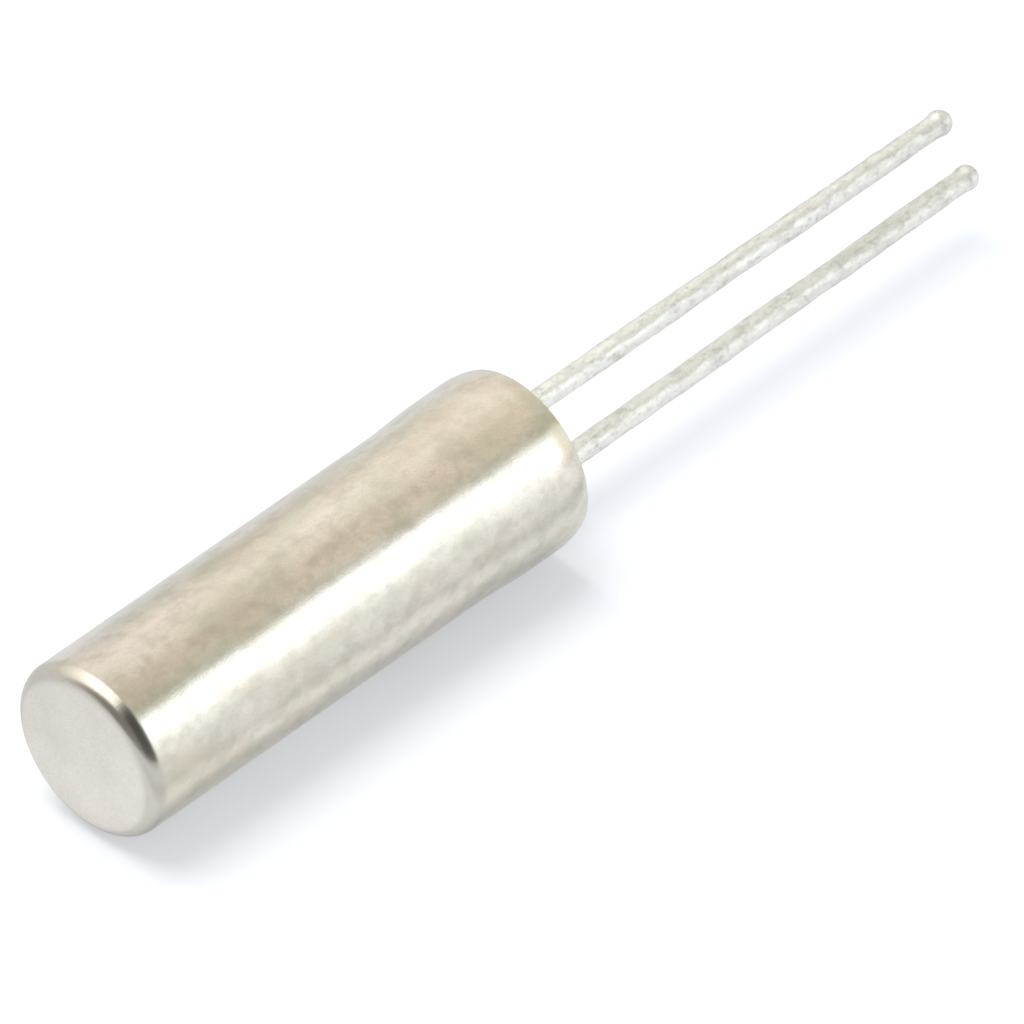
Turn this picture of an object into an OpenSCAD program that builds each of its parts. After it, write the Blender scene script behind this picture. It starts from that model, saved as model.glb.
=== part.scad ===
// Cylinder crystal of the 3 mm type: a drawn metal can pressed over a glass sealed base with two leads.
// It lies on its side: +X runs from the can's closed end to the lead tips, and the can rests on z = 0.
// Sizes are in millimetres. Each shape is drawn with its own +Z along the can, from the closed end,
// with the pair of leads along its own X, and is then laid down.

/* [Can] */
// Outside diameter of the can
can_d = 3.0; // [2.9:0.05:3.4]
// Length of the can from its closed end to its rim
can_l = 9.4; // [9.2:0.1:12]
// Wall of the drawn can
can_wall = 0.15; // [0.12:0.01:0.18]
// Rounding of the closed end's edge
end_edge_r = 0.3; // [0.19:0.01:0.4]
// How far the mouth swells outwards over the pressed-in base
mouth_swell = 0.045; // [0.02:0.005:0.08]
// Length of the slope up to the swollen mouth
slope_l = 1.2; // [0.8:0.1:2]
// Length of the mouth's lip, where the outside turns in towards the rim
lip_l = 0.42; // [0.3:0.02:0.6]
// How far the lip turns in, which thins the wall at the rim
lip_drop = 0.07; // [0.04:0.01:0.09]

/* [Base] */
// Length of the base ring
ring_l = 0.9; // [0.8:0.05:1.4]
// Wall of the base ring
ring_wall = 0.2; // [0.15:0.01:0.25]
// How far the base ring's face lies inside the rim
ring_recess = 0.07; // [0.02:0.01:0.2]
// Rounding of the ring's leading outer edge
ring_edge_r = 0.1; // [0.05:0.01:0.14]
// How far the glass lies below both faces of the ring
glass_dip = 0.1; // [0.09:0.01:0.2]
// Radius of the glass where it creeps up the ring and the wires
creep_r = 0.08; // [0.03:0.01:0.09]

/* [Leads] */
// Distance between the wires' centres in the glass
lead_pitch = 1.1; // [1.05:0.01:1.2]
// Angle of the pair of leads above the horizontal, seen along the can
lead_turn = 62; // [0:1:90]
// Diameter of the bare wire
wire_d = 0.3; // [0.26:0.01:0.34]
// Diameter of a lead over its dipped tin
tinned_d = 0.42; // [0.38:0.01:0.46]
// Bare wire left between the glass and the tin
bare_l = 0.12; // [0.09:0.01:0.3]
// Length over which the tin thickens from the bare wire to its full diameter
taper_l = 0.6; // [0.56:0.02:0.8]
// How far the upper lead reaches past the can's rim
upper_reach = 9.8; // [6:0.1:12]
// How far the lower lead reaches past the can's rim
lower_reach = 9.9; // [6:0.1:12]
// Lean of the upper lead towards the lower one, in degrees
upper_lean = 0.1; // [0:0.1:0.5]
// Lean of the lower lead towards the upper one, in degrees
lower_lean = 0.4; // [0:0.1:0.6]
// Diameter of the drop of tin at a lead's tip
drop_d = 0.46; // [0.46:0.01:0.5]
// Radius of the neck between the tinned length and its drop
neck_r = 0.6; // [0.3:0.1:1.5]

/* [Crystal] */
// Length of the quartz strip
blank_l = 6.5; // [6.0:0.1:7.0]
// Width of the quartz strip
blank_w = 1.7; // [1.6:0.05:1.8]
// Thickness of the quartz strip between its bevels
blank_t = 0.2; // [0.16:0.01:0.3]
// Length of the bevel at each end of the strip
bevel_l = 1.3; // [0.9:0.05:1.5]
// Thickness that a bevel takes off each face at the strip's end
bevel_drop = 0.035; // [0.02:0.005:0.05]
// Gap between the glass and the strip's held end
blank_gap = 0.35; // [0.25:0.05:0.6]
// Length of wire that the strip lies on
seat_l = 0.6; // [0.4:0.05:0.8]
// Length of an electrode's pad
pad_l = 3.2; // [2.4:0.1:3.4]
// Width of an electrode's pad
pad_w = 1.1; // [0.9:0.05:1.3]
// Width of the trace from a pad to the held end
trace_w = 0.36; // [0.25:0.01:0.45]
// Thickness of an electrode
film_t = 0.01; // [0.008:0.001:0.02]
// Radius of a bead of conductive adhesive
glue_r = 0.36; // [0.33:0.01:0.4]
// Rounding of a bead's ends
glue_edge_r = 0.15; // [0.05:0.01:0.2]
// How far a bead reaches past the wire's end and past the strip's end
glue_over = 0.1; // [0.05:0.01:0.15]

/* [Hidden] */
$fn = 96;
// Facets for a preview of the long, nearly flat arcs
slope_fn = 720;

can_r = can_d / 2;
mouth_r = can_r + mouth_swell;
ring_r = mouth_r - can_wall;
glass_r = ring_r - ring_wall;
wire_r = wire_d / 2;
tinned_r = tinned_d / 2;
drop_r = drop_d / 2;
overall_l = can_l + max(upper_reach, lower_reach);

// Stations along the can
ring_out_z = can_l - ring_recess;
ring_in_z = ring_out_z - ring_l;
slope_z = ring_in_z - slope_l;
glass_out_z = ring_out_z - glass_dip;
glass_in_z = ring_in_z + glass_dip;
blank_root_z = glass_in_z - blank_gap;
blank_tip_z = blank_root_z - blank_l;
seat_z = blank_root_z - seat_l;
pad_z = (blank_root_z + blank_tip_z - pad_l) / 2;

// The slope up to the mouth is two equal arcs, one hollow and one round, that meet halfway
slope_arc_r = (pow(slope_l, 2) + pow(mouth_swell, 2)) / (4 * mouth_swell);
// The lip is one arc that leaves the mouth's wall without a corner
lip_arc_r = (pow(lip_l, 2) + pow(lip_drop, 2)) / (2 * lip_drop);
// The tin's taper is one arc too, which runs into the full diameter without a corner
tin_t = tinned_r - wire_r;
taper_arc_r = (pow(taper_l, 2) + pow(tin_t, 2)) / (2 * tin_t);

// The strip lies on flats through the middle of the wires, so its own middle is off the can's axis
blank_y = blank_t / 2 - bevel_drop / 2;
// The middle of an adhesive bead is nearer the strip's edge than the wire's, so the bead wraps the edge
glue_x = (blank_w - glue_r) / 2;
// Cutting shapes reach this far past what they cut
past = 1;

// Puts what is drawn along +Z down on its side, with the pair of leads turned to its angle
module laid_down() {
    translate([-overall_l / 2, 0, mouth_r])
        rotate([90, 0, 90])
            rotate([0, 0, lead_turn])
                children();
}

// Half section of the can's outer form up to its lip, drawn smaller all over by inset
module can_section(inset) {
    wall_r = can_r - inset;
    swollen_r = mouth_r - inset;
    meet_x = can_r + mouth_swell / 2 - inset * (1 - mouth_swell / (2 * slope_arc_r));
    meet_z = slope_z + slope_l / 2 + inset * slope_l / (2 * slope_arc_r);
    translate([0, inset])
        square([can_r - end_edge_r, can_l / 2]);
    translate([0, end_edge_r])
        square([wall_r, meet_z - end_edge_r]);
    translate([can_r - end_edge_r, end_edge_r])
        circle(end_edge_r - inset);
    difference() {
        translate([0, slope_z])
            square([meet_x, meet_z - slope_z]);
        translate([can_r + slope_arc_r, slope_z])
            circle(slope_arc_r + inset, $fn = slope_fn);
    }
    intersection() {
        translate([0, slope_z])
            square([swollen_r, slope_l + can_wall]);
        translate([mouth_r - slope_arc_r, ring_in_z])
            circle(slope_arc_r - inset, $fn = slope_fn);
    }
    translate([0, ring_in_z])
        square([swollen_r, can_l - lip_l - ring_in_z]);
}

module can() {
    color("silver")
        laid_down()
            rotate_extrude()
                difference() {
                    union() {
                        can_section(0);
                        intersection() {
                            translate([0, ring_in_z])
                                square([mouth_r, ring_l + ring_recess]);
                            translate([mouth_r - lip_arc_r, can_l - lip_l])
                                circle(lip_arc_r, $fn = slope_fn);
                        }
                    }
                    can_section(can_wall);
                    translate([0, ring_in_z])
                        square([ring_r, ring_l + ring_recess + past]);
                }
}

module base_ring() {
    color("gainsboro")
        laid_down()
            rotate_extrude()
                translate([glass_r, ring_in_z]) {
                    translate([0, ring_edge_r])
                        square([ring_wall, ring_l - ring_edge_r]);
                    square([ring_wall - ring_edge_r, ring_l]);
                    translate([ring_wall - ring_edge_r, ring_edge_r])
                        circle(ring_edge_r);
                }
}

// Fillet of glass outwards from a round wall, or inwards where side is -1
module glass_creep(wall_r, side) {
    rotate_extrude()
        difference() {
            translate([min(wall_r, wall_r + side * creep_r), 0])
                square(creep_r);
            translate([wall_r + side * creep_r, creep_r])
                circle(creep_r);
        }
}

module glass_seal() {
    color("darkslategray")
        laid_down()
            difference() {
                union() {
                    translate([0, 0, glass_in_z])
                        cylinder(h = glass_out_z - glass_in_z, r = glass_r);
                    translate([0, 0, glass_out_z])
                        glass_creep(glass_r, -1);
                    for (side = [-1, 1])
                        translate([side * lead_pitch / 2, 0, glass_out_z])
                            glass_creep(wire_r, 1);
                }
                for (side = [-1, 1])
                    translate([side * lead_pitch / 2, 0, glass_in_z - past])
                        cylinder(h = ring_l + 2 * past, r = wire_r);
            }
}

// Side view of the quartz strip, as [across its thickness, along the can], grown by grow on both faces
module strip_side(grow) {
    half_t = blank_t / 2 + grow;
    end_half_t = half_t - bevel_drop;
    translate([blank_y, 0])
        polygon([
            [-end_half_t, blank_tip_z],
            [-half_t, blank_tip_z + bevel_l],
            [-half_t, blank_root_z - bevel_l],
            [-end_half_t, blank_root_z],
            [end_half_t, blank_root_z],
            [half_t, blank_root_z - bevel_l],
            [half_t, blank_tip_z + bevel_l],
            [end_half_t, blank_tip_z],
        ]);
}

// Extrudes a side view to the given width, with its middle on the can's axis
module across(width) {
    translate([-width / 2, 0, 0])
        rotate([90, 0, 90])
            linear_extrude(width)
                children();
}

module strip() {
    across(blank_w)
        strip_side(0);
}

module crystal_blank() {
    color("azure")
        laid_down()
            strip();
}

// Plan of an electrode, as [across, along the can]: a pad, and a trace on one side to the held end
module electrode_plan(side) {
    translate([-pad_w / 2, pad_z])
        square([pad_w, pad_l]);
    translate([side * lead_pitch / 2 - trace_w / 2, pad_z + pad_l - trace_w])
        square([trace_w, blank_root_z - pad_z - pad_l + trace_w]);
}

// A film on the strip's free face where side is 1, and on the face that lies on the wires where it is -1
module film(side) {
    intersection() {
        difference() {
            across(blank_w)
                strip_side(film_t);
            across(blank_w + past)
                strip_side(0);
        }
        translate([0, blank_y + (side > 0 ? blank_t : 0), 0])
            rotate([90, 0, 0])
                linear_extrude(blank_t)
                    electrode_plan(side);
    }
}

module upper_electrode() {
    color("goldenrod")
        laid_down()
            film(1);
}

module lower_electrode() {
    color("goldenrod")
        laid_down()
            film(-1);
}

// What is cut from a wire's end, so that the strip with its film lies on a flat against a shoulder
module seat_side() {
    flat_y = blank_y - blank_t / 2 - film_t;
    polygon([
        [flat_y, blank_root_z - bevel_l],
        [flat_y + bevel_drop, blank_root_z],
        [past, blank_root_z],
        [past, blank_root_z - bevel_l],
    ]);
}

// The round wire of a lead, through the glass and into the tin
module wire(side) {
    difference() {
        translate([side * lead_pitch / 2, 0, seat_z])
            cylinder(h = glass_out_z + bare_l + tinned_r - seat_z, r = wire_r);
        across(lead_pitch + 2 * past)
            seat_side();
    }
}

// Dipped tin that comes out of the wire at z = bare_l and ends with its drop at z = end_z
module tin(end_z) {
    drop_z = end_z - drop_r;
    neck_z = drop_z - sqrt(pow(drop_r + neck_r, 2) - pow(tinned_r + neck_r, 2));
    neck_share = drop_r / (drop_r + neck_r);
    rotate_extrude() {
        intersection() {
            translate([0, bare_l / 2])
                square([tinned_r, 2 * taper_l]);
            translate([tinned_r - taper_arc_r, bare_l + taper_l])
                circle(taper_arc_r, $fn = slope_fn);
        }
        translate([0, bare_l + taper_l])
            square([tinned_r, drop_z - bare_l - taper_l]);
        difference() {
            translate([0, neck_z])
                square([(tinned_r + neck_r) * neck_share, (drop_z - neck_z) * (1 - neck_share)]);
            translate([tinned_r + neck_r, neck_z])
                circle(neck_r);
        }
        intersection() {
            translate([0, drop_z])
                circle(drop_r);
            translate([0, drop_z - drop_r])
                square([drop_r, 2 * drop_r]);
        }
    }
}

// A lead on one side of the pair, whose tinned length leans towards the other one
module lead(side, reach, lean) {
    wire(side);
    translate([side * lead_pitch / 2, 0, glass_out_z])
        rotate([0, -side * lean, 0])
            tin(can_l + reach - glass_out_z);
}

module upper_lead() {
    color("whitesmoke")
        laid_down()
            lead(1, upper_reach, upper_lean);
}

module lower_lead() {
    color("whitesmoke")
        laid_down()
            lead(-1, lower_reach, lower_lean);
}

// A bead of conductive adhesive that joins a wire to the electrode at the strip's corner
module adhesive(side) {
    glue_l = seat_l + 2 * glue_over;
    difference() {
        translate([side * glue_x, 0, seat_z - glue_over])
            rotate_extrude() {
                translate([0, glue_edge_r])
                    square([glue_r, glue_l - 2 * glue_edge_r]);
                square([glue_r - glue_edge_r, glue_l]);
                for (z = [glue_edge_r, glue_l - glue_edge_r])
                    translate([glue_r - glue_edge_r, z])
                        circle(glue_edge_r);
            }
        strip();
        film(side);
        wire(side);
    }
}

module upper_adhesive() {
    color("lightgray")
        laid_down()
            adhesive(1);
}

module lower_adhesive() {
    color("lightgray")
        laid_down()
            adhesive(-1);
}

can();
base_ring();
glass_seal();
upper_lead();
lower_lead();
crystal_blank();
upper_electrode();
lower_electrode();
upper_adhesive();
lower_adhesive();
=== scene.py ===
import math

import bmesh
import bpy
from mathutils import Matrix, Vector, noise

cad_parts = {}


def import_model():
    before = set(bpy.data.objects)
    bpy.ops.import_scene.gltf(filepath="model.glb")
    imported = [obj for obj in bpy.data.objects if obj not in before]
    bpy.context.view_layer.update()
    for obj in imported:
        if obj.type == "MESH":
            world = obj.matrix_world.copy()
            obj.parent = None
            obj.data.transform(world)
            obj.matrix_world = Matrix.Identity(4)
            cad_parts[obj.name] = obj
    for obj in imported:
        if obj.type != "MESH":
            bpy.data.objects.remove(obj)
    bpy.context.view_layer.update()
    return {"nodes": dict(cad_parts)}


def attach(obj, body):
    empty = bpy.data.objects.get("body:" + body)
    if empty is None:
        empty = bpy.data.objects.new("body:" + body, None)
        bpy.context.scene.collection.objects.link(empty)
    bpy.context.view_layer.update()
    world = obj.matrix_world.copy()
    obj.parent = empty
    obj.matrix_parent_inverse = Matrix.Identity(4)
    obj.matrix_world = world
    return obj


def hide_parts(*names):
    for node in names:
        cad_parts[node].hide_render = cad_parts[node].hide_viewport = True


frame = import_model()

MM = 0.001

# Sizes of the part in millimetres, the same as in the part's source
CAN_R = 1.5
CAN_L = 9.4
CAN_WALL = 0.15
END_EDGE_R = 0.3
MOUTH_SWELL = 0.045
SLOPE_L = 1.2
LIP_L = 0.42
LIP_DROP = 0.07
RING_L = 0.9
RING_WALL = 0.2
RING_RECESS = 0.07
RING_EDGE_R = 0.1
GLASS_DIP = 0.1
LEAD_PITCH = 1.1
LEAD_TURN = math.radians(62)
WIRE_R = 0.15
TIN_R = 0.21
BARE_L = 0.12
TAPER_L = 0.6
DROP_R = 0.23
NECK_R = 0.6
# Each lead's side of the pair, its reach past the can's rim and its lean towards the other lead
LEADS = {"upper": (1, 9.8, math.radians(0.1)), "lower": (-1, 9.9, math.radians(0.4))}
BLANK_GAP = 0.35
BEVEL_L = 1.3
BEVEL_DROP = 0.035
SEAT_L = 0.6
FILM_T = 0.01

# Radii, and stations along the can from its closed end
MOUTH_R = CAN_R + MOUTH_SWELL
RING_R = MOUTH_R - CAN_WALL
GLASS_R = RING_R - RING_WALL
RING_OUT = CAN_L - RING_RECESS
RING_IN = RING_OUT - RING_L
SLOPE_START = RING_IN - SLOPE_L
GLASS_OUT = RING_OUT - GLASS_DIP
GLASS_IN = RING_IN + GLASS_DIP
BLANK_ROOT = GLASS_IN - BLANK_GAP

# Where the closed end and the can's axis lie in the object's frame
END_X = -(CAN_L + max(reach for side, reach, lean in LEADS.values())) / 2
AXIS_Z = MOUTH_R

# Fineness of the meshes
CAN_SEGMENTS = 224
RING_SEGMENTS = 160
LEAD_SEGMENTS = 56


# Shape helpers
def place(x, y, z):
    """A point given across the leads, square to them and along the can, in the object's frame in metres."""
    turned_y = x * math.cos(LEAD_TURN) - y * math.sin(LEAD_TURN)
    turned_z = x * math.sin(LEAD_TURN) + y * math.cos(LEAD_TURN)
    return Vector((END_X + z, turned_y, AXIS_Z + turned_z)) * MM


def clamp(value, low=0.0, high=1.0):
    return min(high, max(low, value))


def angles(segments):
    return [2 * math.pi * i / segments for i in range(segments)]


def arc(centre, radius, start, end, steps):
    """Points of an arc as (r, z), from the start angle to the end angle in degrees."""
    out = []
    for i in range(steps + 1):
        a = math.radians(start + (end - start) * i / steps)
        out.append((centre[0] + radius * math.cos(a), centre[1] + radius * math.sin(a)))
    return out


def straight(a, b, steps):
    """The points that divide a straight line, without its ends."""
    return [(a[0] + (b[0] - a[0]) * i / steps, a[1] + (b[1] - a[1]) * i / steps) for i in range(1, steps)]


def smooth_but_sharp(mesh, degrees):
    """Smooth shading, with an edge kept sharp where its faces meet at more than this angle."""
    mesh.shade_smooth()
    mesh.set_sharp_from_angle(angle=math.radians(degrees))


def finish_mesh(name, bm, sharp):
    bmesh.ops.remove_doubles(bm, verts=bm.verts, dist=1e-8)
    bmesh.ops.dissolve_degenerate(bm, edges=bm.edges, dist=1e-8)
    bmesh.ops.recalc_face_normals(bm, faces=bm.faces)
    mesh = bpy.data.meshes.new(name)
    bm.to_mesh(mesh)
    bm.free()
    smooth_but_sharp(mesh, sharp)
    obj = bpy.data.objects.new(name, mesh)
    bpy.context.scene.collection.objects.link(obj)
    return obj


def loft(name, rings, sharp, close_ends=True):
    """An object with quads between rings of points, and a fan over each end where close_ends says so."""
    bm = bmesh.new()
    made = [[bm.verts.new(p) for p in ring] for ring in rings]
    n = len(made[0])
    for a, b in zip(made, made[1:]):
        for i in range(n):
            j = (i + 1) % n
            bm.faces.new((a[i], a[j], b[j], b[i]))
    if close_ends:
        for ring, flip in ((made[0], True), (made[-1], False)):
            centre = bm.verts.new(sum((v.co for v in ring), Vector()) / n)
            for i in range(n):
                j = (i + 1) % n
                bm.faces.new((ring[j], ring[i], centre) if flip else (ring[i], ring[j], centre))
    return finish_mesh(name, bm, sharp)


def turned(name, profile, segments, sharp, dent=None, loop=False):
    """A solid of revolution about the can's axis from (r, z) points, which may run round in a loop."""
    rings = []
    for r, z in profile:
        ring = []
        for a in angles(segments):
            rr = r - (dent(r, z, a) if dent else 0.0)
            ring.append(place(rr * math.cos(a), rr * math.sin(a), z))
        rings.append(ring)
    if loop:
        rings.append(rings[0])
    return loft(name, rings, sharp, close_ends=not loop)


# The can
# Radii of the rings that divide the flat end, on its outside and its inside
FACE_RINGS = (0.15, 0.4, 0.7, 1.0, 1.1, 1.17)
INNER_FACE_RINGS = (0.6, 0.15)
# The drawn wall's waves: their full depth, where they start along the can and the length over which they grow
WAVE_DEPTH = 0.0032
WAVE_START = 0.1
WAVE_EASE = 0.5


def slope_points(inset, steps):
    """The S shaped slope of the can's wall, as (r, z) from the wall to the mouth."""
    radius = (SLOPE_L ** 2 + MOUTH_SWELL ** 2) / (4 * MOUTH_SWELL)
    sweep = math.degrees(math.asin(SLOPE_L / 2 / radius))
    hollow = arc((CAN_R + radius, SLOPE_START), radius + inset, 180, 180 - sweep, steps)
    crown = arc((MOUTH_R - radius, RING_IN), radius - inset, -sweep, 0, steps)
    return hollow + crown[1:]


def can_profile():
    """The can's outline from the middle of its closed end, out to the rim and back along the inside."""
    edge_centre = (CAN_R - END_EDGE_R, END_EDGE_R)
    lip_radius = (LIP_L ** 2 + LIP_DROP ** 2) / (2 * LIP_DROP)
    lip_sweep = math.degrees(math.asin(LIP_L / lip_radius))
    outer_slope = slope_points(0, 14)
    inner_slope = slope_points(CAN_WALL, 8)

    pts = [(r, 0.0) for r in FACE_RINGS]
    pts += arc(edge_centre, END_EDGE_R, -90, 0, 24)
    pts += straight(pts[-1], outer_slope[0], 120)
    pts += outer_slope
    pts += straight(outer_slope[-1], (MOUTH_R, CAN_L - LIP_L), 10)
    pts += arc((MOUTH_R - lip_radius, CAN_L - LIP_L), lip_radius, 0, lip_sweep, 14)
    pts += [(RING_R, CAN_L), (RING_R, RING_IN)]
    pts += inner_slope[::-1][1:]
    pts += arc(edge_centre, END_EDGE_R - CAN_WALL, 0, -90, 6)
    pts += [(r, CAN_WALL) for r in INNER_FACE_RINGS]
    return pts


def can_dent(r, z, a):
    """The drawn wall's slight waves, at most a few micrometres deep, on the outside and inwards only."""
    if r < CAN_R - 0.06 or z < WAVE_START:
        return 0.0
    broad = noise.noise(Vector((math.cos(a) * 1.6, math.sin(a) * 1.6, z * 0.55)))
    small = noise.noise(Vector((math.cos(a) * 3.4, math.sin(a) * 3.4, z * 1.5 + 7)))
    wave = 0.65 * broad + 0.35 * small
    return WAVE_DEPTH * clamp((z - WAVE_START) / WAVE_EASE) * (wave + 1) / 2


def build_can():
    return turned("can_shell", can_profile(), CAN_SEGMENTS, sharp=30, dent=can_dent)


# The base
RING_BEVEL = 0.012


def build_ring():
    bevel_root = (GLASS_R, RING_OUT - RING_BEVEL)
    pts = [bevel_root, (GLASS_R + RING_BEVEL, RING_OUT), (RING_R, RING_OUT)]
    pts += straight(pts[-1], (RING_R, RING_IN + RING_EDGE_R), 6)
    pts += arc((RING_R - RING_EDGE_R, RING_IN + RING_EDGE_R), RING_EDGE_R, 0, -90, 8)
    pts += [(GLASS_R, RING_IN)]
    pts += straight(pts[-1], bevel_root, 6)
    return turned("base_shell", pts, RING_SEGMENTS, sharp=35, loop=True)


# The leads
# Distance between the rings along the tin, and how deep its uneven surface goes
TIN_STEP = 0.03
TIN_RELIEF = 0.034
# The tin's uneven surface, from long runs over lumps to fine grain: each pattern's share, its scale round the
# lead and along it, and how far it is shifted
TIN_PATTERNS = (
    (0.40, 0.7, 0.45, (0, 0)),
    (0.34, 1.1, 1.9, (3, 0)),
    (0.18, 2.4, 6.0, (0, 5)),
    (0.08, 5.0, 17.0, (7, 0)),
)


def tin_profile(end_z):
    """The dipped tin along a lead, as (r, z) from the bare wire to the end of its drop."""
    drop_z = end_z - DROP_R
    neck_z = drop_z - math.sqrt((DROP_R + NECK_R) ** 2 - (TIN_R + NECK_R) ** 2)
    neck_sweep = math.degrees(math.asin((drop_z - neck_z) / (DROP_R + NECK_R)))
    thick = TIN_R - WIRE_R
    taper_r = (TAPER_L ** 2 + thick ** 2) / (2 * thick)
    taper_sweep = math.degrees(math.asin((TAPER_L + BARE_L / 2) / taper_r))
    taper_end = BARE_L + TAPER_L

    pts = arc((TIN_R - taper_r, taper_end), taper_r, -taper_sweep, 0, 24)
    pts += straight(pts[-1], (TIN_R, neck_z), int((neck_z - taper_end) / TIN_STEP))
    pts += arc((TIN_R + NECK_R, neck_z), NECK_R, 180, 180 - neck_sweep, 6)
    pts += arc((0, drop_z), DROP_R, -neck_sweep, 80, 26)[1:]
    return pts


def tin_depth(side, z, a, end_z):
    """How far the tin lies inside its largest round form. It is nearly even at the wire and at the tip."""
    about = Vector((math.cos(a), math.sin(a), 0))
    seed = 11.0 * side
    value = 0
    for share, scale, along, (shift_x, shift_y) in TIN_PATTERNS:
        value += share * noise.noise(about * scale + Vector((shift_x, shift_y, z * along + seed)))
    start = clamp((z - BARE_L - 0.05) / TAPER_L)
    end = clamp((end_z - z) / 0.25, low=0.12)
    return TIN_RELIEF * (0.5 - 0.5 * clamp(value * 1.6, low=-1.0)) * start * end


def build_wire(name, centre_x):
    """The wire from its inner end to inside the tin, with the flat that the quartz strip lies on."""

    def flat_at(z):
        return BEVEL_DROP * ((z - BLANK_ROOT) / BEVEL_L + 0.5) - FILM_T

    wire_end = GLASS_OUT + BARE_L + TIN_R
    stations = [(BLANK_ROOT - SEAT_L + SEAT_L * k / 8, True) for k in range(9)]
    stations += [(BLANK_ROOT + (wire_end - BLANK_ROOT) * k / 12, False) for k in range(13)]
    rings = []
    for z, seated in stations:
        ring = []
        for a in angles(LEAD_SEGMENTS):
            y = WIRE_R * math.sin(a)
            ring.append(place(centre_x + WIRE_R * math.cos(a), min(y, flat_at(z)) if seated else y, z))
        rings.append(ring)
    return loft(name, rings, sharp=30)


def build_tin(name, side, centre_x, reach, lean):
    """The tin round a lead, which leans about the point where its wire leaves the glass."""
    end_z = CAN_L + reach - GLASS_OUT
    sin_lean, cos_lean = math.sin(-side * lean), math.cos(-side * lean)
    rings = []
    for r, z in tin_profile(end_z):
        ring = []
        for a in angles(LEAD_SEGMENTS):
            rr = r - tin_depth(side, z, a, end_z)
            x, y = rr * math.cos(a), rr * math.sin(a)
            leaned_x = centre_x + x * cos_lean + z * sin_lean
            leaned_z = GLASS_OUT - x * sin_lean + z * cos_lean
            ring.append(place(leaned_x, y, leaned_z))
        rings.append(ring)
    return loft(name, rings, sharp=50)


def join(piece, other, sharp):
    """Unite two overlapping pieces in the first one and remove the other."""
    union = piece.modifiers.new("join", "BOOLEAN")
    union.operation = "UNION"
    union.solver = "EXACT"
    union.object = other
    bpy.context.view_layer.update()
    merged = bpy.data.meshes.new_from_object(piece.evaluated_get(bpy.context.evaluated_depsgraph_get()))
    piece.modifiers.clear()
    piece.data = merged
    bpy.data.objects.remove(other)
    smooth_but_sharp(merged, sharp)


def build_lead(name, side, reach, lean):
    centre_x = side * LEAD_PITCH / 2
    wire = build_wire(name + "_wire", centre_x)
    tin = build_tin(name, side, centre_x, reach, lean)
    join(tin, wire, sharp=50)
    return tin


# Node helpers
class Tree:
    """Short calls that make and join the nodes of a material or a world."""

    def __init__(self, owner):
        owner.use_nodes = True
        self.tree = owner.node_tree
        self.tree.nodes.clear()

    def add(self, kind, **values):
        node = self.tree.nodes.new(kind)
        for key, value in values.items():
            setattr(node, key, value)
        return node

    def link(self, a, b):
        self.tree.links.new(a, b)

    def fill(self, socket, value):
        """Link another socket to this one, or set it to a colour or a number."""
        if isinstance(value, bpy.types.NodeSocket):
            self.link(value, socket)
        elif isinstance(value, tuple):
            socket.default_value = (*value, 1)
        else:
            socket.default_value = value

    def axis(self, vector, name):
        parts = self.add("ShaderNodeSeparateXYZ")
        self.link(vector, parts.inputs[0])
        return parts.outputs[name]

    def maths(self, op, *values):
        node = self.add("ShaderNodeMath", operation=op)
        for socket, value in zip(node.inputs, values):
            self.fill(socket, value)
        return node.outputs[0]

    def ramp(self, value, stops):
        """A colour ramp from (position, colour or grey) stops."""
        node = self.add("ShaderNodeValToRGB")
        elements = node.color_ramp.elements
        while len(elements) < len(stops):
            elements.new(0.5)
        for element, (position, colour) in zip(elements, stops):
            element.position = position
            element.color = (*colour, 1) if isinstance(colour, tuple) else (colour,) * 3 + (1,)
        self.link(value, node.inputs["Fac"])
        return node.outputs["Color"]

    def mix(self, factor, a, b, blend="MIX"):
        node = self.add("ShaderNodeMix", data_type="RGBA", blend_type=blend)
        self.fill(node.inputs[0], factor)
        self.fill(node.inputs[6], a)
        self.fill(node.inputs[7], b)
        return node.outputs[2]


class Material(Tree):
    """A Principled material with patterns in the object's own space."""

    def __init__(self, name):
        self.mat = bpy.data.materials.new(name)
        super().__init__(self.mat)
        self.bsdf = self.add("ShaderNodeBsdfPrincipled")
        self.link(self.bsdf.outputs["BSDF"], self.add("ShaderNodeOutputMaterial").inputs["Surface"])
        coord = self.add("ShaderNodeTexCoord")
        self.point, self.normal = coord.outputs["Object"], coord.outputs["Normal"]

    def noise(self, scale, detail, rough, stretch=(1, 1, 1), distort=0.0, offset=0.0):
        """Noise over the object, with scale in features a millimetre."""
        mapping = self.add("ShaderNodeMapping")
        mapping.inputs["Scale"].default_value = [v / MM for v in stretch]
        mapping.inputs["Location"].default_value = (offset, offset, offset)
        self.link(self.point, mapping.inputs["Vector"])
        tex = self.add("ShaderNodeTexNoise")
        tex.inputs["Scale"].default_value = scale
        tex.inputs["Detail"].default_value = detail
        tex.inputs["Roughness"].default_value = rough
        tex.inputs["Distortion"].default_value = distort
        self.link(mapping.outputs["Vector"], tex.inputs["Vector"])
        return tex.outputs["Fac"]

    def bump(self, height, distance, under=None):
        """distance is the height in millimetres of the full range of the pattern."""
        node = self.add("ShaderNodeBump")
        node.inputs["Strength"].default_value = 1.0
        node.inputs["Distance"].default_value = distance * MM
        self.link(height, node.inputs["Height"])
        if under:
            self.link(under, node.inputs["Normal"])
        return node.outputs["Normal"]

    def finish(self, **values):
        """Fill the shader's sockets by name and give the material."""
        for key, value in values.items():
            self.fill(self.bsdf.inputs[key.replace("_", " ")], value)
        return self.mat


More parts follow.
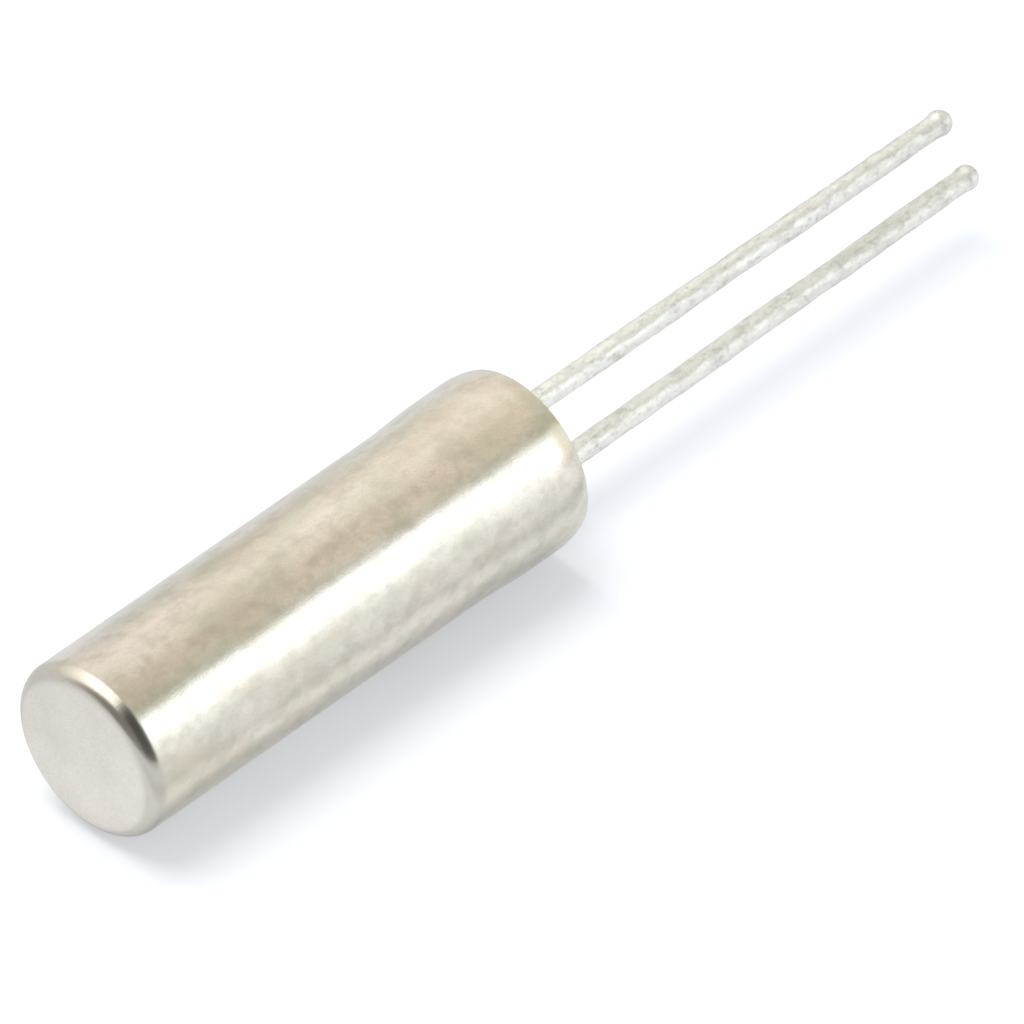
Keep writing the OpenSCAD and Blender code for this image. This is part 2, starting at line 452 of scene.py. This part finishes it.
def can_material():
    """Satin nickel with tarnish clouds, green blots and brown specks, a clean pressed end and painted shade
    on its edge.
    """
    m = Material("nickel_plated_can")
    clouds = m.noise(0.9, 3, 0.55, stretch=(0.45, 1, 1), distort=0.4)
    blots = m.noise(1.7, 3, 0.6, stretch=(0.6, 1, 1), offset=3.0)
    specks = m.noise(3.4, 2, 0.6, stretch=(0.8, 1, 1), offset=13.0)
    grain = m.noise(30, 2, 0.7, offset=1.0)
    draw = m.noise(9, 2, 0.6, stretch=(0.05, 1, 1), offset=5.0)
    # how far along the can, in millimetres from its closed end
    along = m.maths("MULTIPLY_ADD", m.axis(m.point, "X"), 1 / MM, -END_X)

    dull, fair, pale = (0.71, 0.64, 0.51), (0.82, 0.77, 0.66), (0.90, 0.83, 0.745)
    tone = m.ramp(clouds, [(0.30, dull), (0.48, fair), (0.66, pale)])
    tone = m.mix(m.ramp(blots, [(0.48, 0.0), (0.68, 0.50)]), tone, (0.68, 0.72, 0.59))
    tone = m.mix(m.ramp(specks, [(0.44, 0.0), (0.68, 0.62)]), tone, (0.61, 0.575, 0.48))
    # painted light and shade on the plating: paler towards the mouth on top, and paler towards the closed end
    # low down
    painted_top_light = m.ramp(m.axis(m.normal, "Z"), [(0.82, 0.0), (0.92, 1.0)])
    tone = m.mix(painted_top_light, tone, m.maths("MULTIPLY_ADD", along, 0.021, 0.92), "MULTIPLY")
    low = m.ramp(m.axis(m.normal, "Z"), [(0.20, 1.0), (0.45, 0.0)])
    tone = m.mix(low, tone, m.maths("MULTIPLY_ADD", along, -0.011, 1.07), "MULTIPLY")
    # the pressed disc of the closed end is cleaner, and the edge round it is darkened with painted shade
    stains = m.noise(1.3, 3, 0.5, offset=21.0)
    disc = m.ramp(stains, [(0.3, (0.785, 0.74, 0.675)), (0.7, (0.86, 0.815, 0.745))])
    tone = m.mix(m.ramp(along, [(0.05, 0.0), (0.35, 1.0)]), disc, tone)
    painted_edge_shade = m.ramp(along, [(0.002, 0.0), (0.03, 0.38), (0.20, 0.38), (0.32, 0.0)])
    tone = m.mix(painted_edge_shade, tone, (0.42, 0.39, 0.34))
    tone = m.mix(m.ramp(grain, [(0.36, 0.26), (0.60, 0.0)]), tone, (0.56, 0.54, 0.47))

    rough = m.ramp(m.mix(0.5, clouds, draw), [(0.3, 0.14), (0.7, 0.21)])
    edge = m.ramp(along, [(0.0, 0.0), (0.02, 1.0), (0.24, 1.0), (0.34, 0.0)])
    rough = m.mix(edge, rough, (0.24, 0.24, 0.24))

    waves = m.bump(m.noise(1.1, 2, 0.5, stretch=(0.5, 1, 1), offset=17.0), 0.0038)
    lines = m.bump(draw, 0.0010, under=waves)
    satin = m.bump(grain, 0.0011, under=lines)
    return m.finish(Base_Color=tone, Metallic=1.0, Roughness=rough, Normal=satin)


def base_material():
    m = Material("plated_base_ring")
    patches = m.noise(2.2, 3, 0.6)
    return m.finish(
        Base_Color=m.ramp(patches, [(0.3, (0.66, 0.64, 0.59)), (0.7, (0.78, 0.76, 0.71))]),
        Metallic=1.0,
        Roughness=m.ramp(patches, [(0.3, 0.24), (0.7, 0.38)]),
        Normal=m.bump(m.noise(24, 2, 0.6), 0.0016),
    )


def glass_material():
    m = Material("sealing_glass")
    swirl = m.noise(1.6, 3, 0.6, distort=1.0)
    return m.finish(
        Base_Color=m.ramp(swirl, [(0.3, (0.025, 0.04, 0.036)), (0.7, (0.05, 0.075, 0.068))]),
        Roughness=m.ramp(swirl, [(0.3, 0.07), (0.7, 0.16)]),
        IOR=1.52,
        Coat_Weight=0.5,
        Coat_Roughness=0.04,
        Normal=m.bump(m.noise(14, 2, 0.5), 0.0015),
    )


def tin_material():
    """Dipped tin in pale runs with grey patches, painted cool light on top, duller outwards and painted shade
    on the very end.
    """
    m = Material("dipped_tin")
    runs = m.noise(1.3, 3, 0.6, stretch=(0.55, 1, 1))
    patches = m.noise(5.0, 5, 0.75, stretch=(0.45, 1, 1), offset=2.0)
    specks = m.noise(10, 3, 0.7, stretch=(0.7, 1, 1), offset=4.0)

    tone = m.ramp(runs, [(0.28, (0.93, 0.92, 0.845)), (0.5, (0.99, 0.98, 0.92)), (0.72, (1.0, 0.99, 0.945))])
    tone = m.mix(m.ramp(patches, [(0.48, 0.0), (0.66, 0.46)]), tone, (0.60, 0.60, 0.53))
    tone = m.mix(m.ramp(specks, [(0.52, 0.0), (0.70, 0.46)]), tone, (0.50, 0.50, 0.46))
    # painted shade on the very end of each lead
    end = m.ramp(m.axis(m.normal, "X"), [(0.60, 0.0), (0.80, 0.85)])
    tone = m.mix(end, tone, (0.34, 0.32, 0.31))
    # painted light: the top of the tin is cooler
    painted_top_light = m.ramp(m.axis(m.normal, "Z"), [(0.62, 0.0), (0.92, 1.0)])
    tone = m.mix(painted_top_light, tone, (0.96, 0.985, 1.0), "MULTIPLY")
    # from 1.5 to 6 mm past the middle of the object, in centimetres
    outer = m.ramp(m.maths("MULTIPLY", m.axis(m.point, "X"), 100.0), [(0.15, 0.0), (0.60, 1.0)])
    tone = m.mix(outer, tone, (0.94, 0.94, 0.94), "MULTIPLY")

    lumps = m.bump(m.noise(4.2, 3, 0.6, stretch=(0.7, 1, 1), offset=6.0), 0.016)
    return m.finish(
        Base_Color=tone,
        Metallic=m.ramp(end, [(0.0, 1.0), (0.85, 0.45)]),
        Roughness=m.ramp(patches, [(0.35, 0.38), (0.65, 0.55)]),
        Normal=m.bump(m.noise(22, 3, 0.7), 0.008, under=lumps),
    )


def quartz_material():
    m = Material("lapped_quartz")
    lap = m.noise(18, 3, 0.7)
    return m.finish(
        Base_Color=m.ramp(lap, [(0.3, (0.90, 0.93, 0.94)), (0.7, (0.97, 0.98, 0.98))]),
        Roughness=m.ramp(lap, [(0.3, 0.18), (0.7, 0.34)]),
        IOR=1.54,
        Transmission_Weight=0.75,
        Normal=m.bump(lap, 0.0015),
    )


def silver_material():
    m = Material("evaporated_silver")
    cloud = m.noise(2.0, 3, 0.6)
    return m.finish(
        Base_Color=m.ramp(cloud, [(0.3, (0.83, 0.80, 0.74)), (0.7, (0.92, 0.90, 0.86))]),
        Metallic=1.0,
        Roughness=m.ramp(cloud, [(0.3, 0.16), (0.7, 0.28)]),
        Normal=m.bump(m.noise(18, 3, 0.7), 0.001),
    )


def adhesive_material():
    m = Material("silver_filled_resin")
    flakes = m.noise(15, 3, 0.7)
    return m.finish(
        Base_Color=m.ramp(flakes, [(0.3, (0.42, 0.41, 0.39)), (0.7, (0.62, 0.61, 0.58))]),
        Metallic=0.35,
        Roughness=m.ramp(flakes, [(0.3, 0.42), (0.7, 0.62)]),
        Normal=m.bump(flakes, 0.006),
    )


# The pieces
def dress(piece, material):
    piece.data.materials.clear()
    piece.data.materials.append(material)


def put(piece, material, node):
    """Put a piece of the scene in place of one node of the CAD."""
    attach(piece, "root")
    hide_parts(node)
    dress(piece, material)


put(build_can(), can_material(), "can")
put(build_ring(), base_material(), "base_ring")
tin = tin_material()
for lead_name, (side, reach, lean) in LEADS.items():
    put(build_lead(lead_name + "_lead_tinned", side, reach, lean), tin, lead_name + "_lead")

# The pieces inside, and the glass, are the CAD's own
dress(frame["nodes"]["glass_seal"], glass_material())
dress(frame["nodes"]["crystal_blank"], quartz_material())
silver = silver_material()
resin = adhesive_material()
for lead_name in LEADS:
    dress(frame["nodes"][lead_name + "_electrode"], silver)
    dress(frame["nodes"][lead_name + "_adhesive"], resin)


# The floor, with its half width and the reach of its shade in metres
FLOOR_HALF = 0.9
FLOOR_GREY = (0.80, 0.80, 0.80)
FLOOR_TINT = (0.90, 0.935, 1.0)
FLOOR_GLOW = 0.52
FLOOR_SHADE = 0.30
FLOOR_SHADE_REACH = 0.005
# Distance in front of the can's axis in millimetres, and the glow that the metal mirrors there
FLOOR_MIRRORED = (
    (-6, 0.19), (-2.2, 0.235), (-0.6, 0.31), (1.8, 0.31), (2.4, 0.39), (2.95, 0.26), (3.6, 0.10), (4.7, 0.17),
    (6.6, 0.29), (16, 0.35), (35, 0.43),
)


def floor_material():
    """White, with a glow that is shaded close to the object, as light from all round would be."""
    mat = bpy.data.materials.new("white_sweep")
    m = Tree(mat)
    path = m.add("ShaderNodeLightPath")

    shade = m.add("ShaderNodeAmbientOcclusion", samples=16)
    shade.inputs["Distance"].default_value = FLOOR_SHADE_REACH
    left = m.maths("MULTIPLY_ADD", shade.outputs["AO"], FLOOR_SHADE, 1 - FLOOR_SHADE)
    seen = m.maths("MULTIPLY", path.outputs["Is Camera Ray"], m.maths("MULTIPLY", left, FLOOR_GLOW))

    nearest, farthest = FLOOR_MIRRORED[0][0], FLOOR_MIRRORED[-1][0]
    span = farthest - nearest
    sideways = m.axis(m.add("ShaderNodeTexCoord").outputs["Object"], "Y")
    in_front = m.maths("MULTIPLY_ADD", sideways, -1 / MM / span, -nearest / span)
    stops = [((distance - nearest) / span, amount) for distance, amount in FLOOR_MIRRORED]
    mirrored = m.maths("MULTIPLY", path.outputs["Is Glossy Ray"], m.ramp(in_front, stops))

    diffuse = m.add("ShaderNodeBsdfDiffuse")
    m.fill(diffuse.inputs["Color"], FLOOR_GREY)
    glow = m.add("ShaderNodeEmission")
    m.fill(glow.inputs["Color"], FLOOR_TINT)
    m.link(m.maths("ADD", seen, mirrored), glow.inputs["Strength"])
    both = m.add("ShaderNodeAddShader")
    m.link(diffuse.outputs[0], both.inputs[0])
    m.link(glow.outputs[0], both.inputs[1])
    m.link(both.outputs[0], m.add("ShaderNodeOutputMaterial").inputs["Surface"])
    return mat


def floor():
    mesh = bpy.data.meshes.new("floor")
    corners = [(x * FLOOR_HALF, y * FLOOR_HALF, 0) for x, y in ((-1, -1), (1, -1), (1, 1), (-1, 1))]
    mesh.from_pydata(corners, [], [(0, 1, 2, 3)])
    mesh.materials.append(floor_material())
    obj = bpy.data.objects.new("floor", mesh)
    bpy.context.scene.collection.objects.link(obj)


# The room that the metal mirrors. Each list goes round the can's axis from the floor in front of it
# (0 degrees) over the top (90) to the floor behind it (180), and gives a brightness where 1 is white.
# OUTWARD lies straight past the closed end, ENDWISE past that end to both sides, BESIDE beside the can
# and LEADWARD past the leads.
OUTWARD = (
    (0, (0.30, 0.29, 0.28)), (60, (0.27, 0.26, 0.25)), (100, (0.28, 0.27, 0.25)), (140, (0.33, 0.31, 0.28)),
    (160, (0.52, 0.50, 0.46)), (180, (0.75, 0.73, 0.70)),
)
ENDWISE = (
    (0, (0.20, 0.19, 0.18)), (6, (0.13, 0.13, 0.13)), (40, (0.11, 0.11, 0.11)), (62, (0.09, 0.09, 0.09)),
    (72, (0.20, 0.20, 0.19)), (77, (0.50, 0.50, 0.49)), (83, (2.00, 2.00, 1.94)), (125, (2.00, 1.98, 1.90)),
    (135, (1.48, 1.44, 1.35)), (150, (1.22, 1.18, 1.09)), (160, (1.02, 0.98, 0.91)),
    (170, (0.81, 0.79, 0.75)), (180, (0.88, 0.87, 0.84)),
)
BESIDE = (
    (0, (1.04, 1.07, 1.08)), (7, (1.14, 1.18, 1.22)), (14, (1.21, 1.26, 1.32)), (22, (1.68, 1.74, 1.84)),
    (46, (1.68, 1.74, 1.84)), (50, (1.05, 1.10, 1.16)), (53.5, (0.79, 0.82, 0.79)), (57, (0.65, 0.66, 0.61)),
    (61, (0.62, 0.60, 0.53)), (68, (0.73, 0.69, 0.60)), (80, (0.725, 0.66, 0.575)), (92, (0.78, 0.71, 0.63)),
    (104, (0.88, 0.83, 0.75)), (115, (0.955, 0.90, 0.845)), (130, (1.04, 0.99, 0.95)),
    (148, (0.98, 0.93, 0.88)), (165, (0.81, 0.79, 0.76)), (174, (0.78, 0.765, 0.74)),
    (180, (0.78, 0.77, 0.76)),
)
LEADWARD = (
    (0, (0.82, 0.80, 0.75)), (14, (0.97, 0.96, 0.90)), (26, (1.08, 1.09, 1.02)), (50, (1.10, 1.11, 1.03)),
    (62, (0.66, 0.66, 0.56)), (95, (0.64, 0.61, 0.52)), (140, (0.80, 0.77, 0.71)), (180, (0.84, 0.82, 0.78)),
)
# Between which values of a ray's X each zone takes over from the one before it
ZONES = ((-0.80, -0.58, ENDWISE), (0.10, 0.34, BESIDE), (0.58, 0.78, LEADWARD))
# A ramp's colours stop at 1, so the room's are divided by this and its strength makes up for it
ROOM_GAIN = 2.0
SKY_FILL = (0.35, 0.36, 0.38)
WHITE = (1, 1, 1)


def world():
    """The room for what the metal mirrors, an even fill for the rest, and white behind all that is seen."""
    studio = bpy.data.worlds.new("studio")
    bpy.context.scene.world = studio
    w = Tree(studio)
    way = w.add("ShaderNodeTexCoord").outputs["Generated"]
    round_axis = w.maths("ARCTAN2", w.axis(way, "Z"), w.maths("MULTIPLY", w.axis(way, "Y"), -1))
    turn = w.maths("DIVIDE", round_axis, math.pi)

    def zone(stops):
        return w.ramp(turn, [(angle / 180, tuple(c / ROOM_GAIN for c in colour)) for angle, colour in stops])

    def background(colour, strength=1.0):
        node = w.add("ShaderNodeBackground")
        w.fill(node.inputs["Color"], colour)
        node.inputs["Strength"].default_value = strength
        return node.outputs[0]

    def either(share, a, b):
        node = w.add("ShaderNodeMixShader")
        for socket, value in zip(node.inputs, (share, a, b)):
            w.link(value, socket)
        return node.outputs[0]

    colour = zone(OUTWARD)
    for start, end, stops in ZONES:
        edge = w.add("ShaderNodeMapRange", interpolation_type="SMOOTHSTEP")
        edge.inputs["From Min"].default_value = start
        edge.inputs["From Max"].default_value = end
        w.link(w.axis(way, "X"), edge.inputs["Value"])
        colour = w.mix(edge.outputs["Result"], colour, zone(stops))

    path = w.add("ShaderNodeLightPath")
    mirrored = either(path.outputs["Is Glossy Ray"], background(SKY_FILL), background(colour, ROOM_GAIN))
    seen = w.maths("MAXIMUM", path.outputs["Is Camera Ray"], path.outputs["Is Transmission Ray"])
    final = either(seen, mirrored, background(WHITE))
    w.link(final, w.add("ShaderNodeOutputWorld").inputs["Surface"])


# The lamp: its direction, its distance and width in metres, and its face's brightness, where 1 is white
KEY_DIRECTION = Vector((-0.10, 0.31, 0.95)).normalized()
KEY_DISTANCE = 0.60
KEY_SIZE = 0.40
KEY_LEVEL = 3.9


def key_lamp():
    """A soft square lamp above the object, which neither the camera nor the metal sees."""
    data = bpy.data.lights.new("key", "AREA")
    data.shape = "RECTANGLE"
    data.size = KEY_SIZE
    data.size_y = KEY_SIZE
    data.energy = KEY_LEVEL * math.pi * KEY_SIZE * KEY_SIZE
    lamp = bpy.data.objects.new("key", data)
    bpy.context.scene.collection.objects.link(lamp)
    lamp.location = KEY_DIRECTION * KEY_DISTANCE
    lamp.rotation_mode = "QUATERNION"
    lamp.rotation_quaternion = KEY_DIRECTION.to_track_quat("Z", "Y")
    lamp.visible_camera = False
    lamp.visible_glossy = False


# The camera, at the photo's viewing angle. The point that it looks at and its distance are in millimetres.
CAMERA_AIM = (-1.2529, -0.8390, AXIS_Z)
CAMERA_DISTANCE = 372.8626
CAMERA_AZIMUTH = math.radians(-46.0)
CAMERA_ELEVATION = math.radians(42.2854)
CAMERA_LENS = 864.75
CAMERA_SENSOR = 36


def photo_camera():
    data = bpy.data.cameras.new("camera")
    data.sensor_width = CAMERA_SENSOR
    data.lens = CAMERA_LENS
    data.clip_start = 0.01
    data.clip_end = 5
    camera = bpy.data.objects.new("camera", data)
    bpy.context.scene.collection.objects.link(camera)
    back = Vector((
        math.sin(CAMERA_AZIMUTH) * math.cos(CAMERA_ELEVATION),
        -math.cos(CAMERA_AZIMUTH) * math.cos(CAMERA_ELEVATION),
        math.sin(CAMERA_ELEVATION),
    ))
    camera.location = (Vector(CAMERA_AIM) + back * CAMERA_DISTANCE) * MM
    camera.rotation_mode = "QUATERNION"
    camera.rotation_quaternion = (-back).to_track_quat("-Z", "Y")
    bpy.context.scene.camera = camera


floor()
world()
key_lamp()
photo_camera()
bpy.context.scene.view_settings.view_transform = "Standard"

bpy.context.view_layer.update()
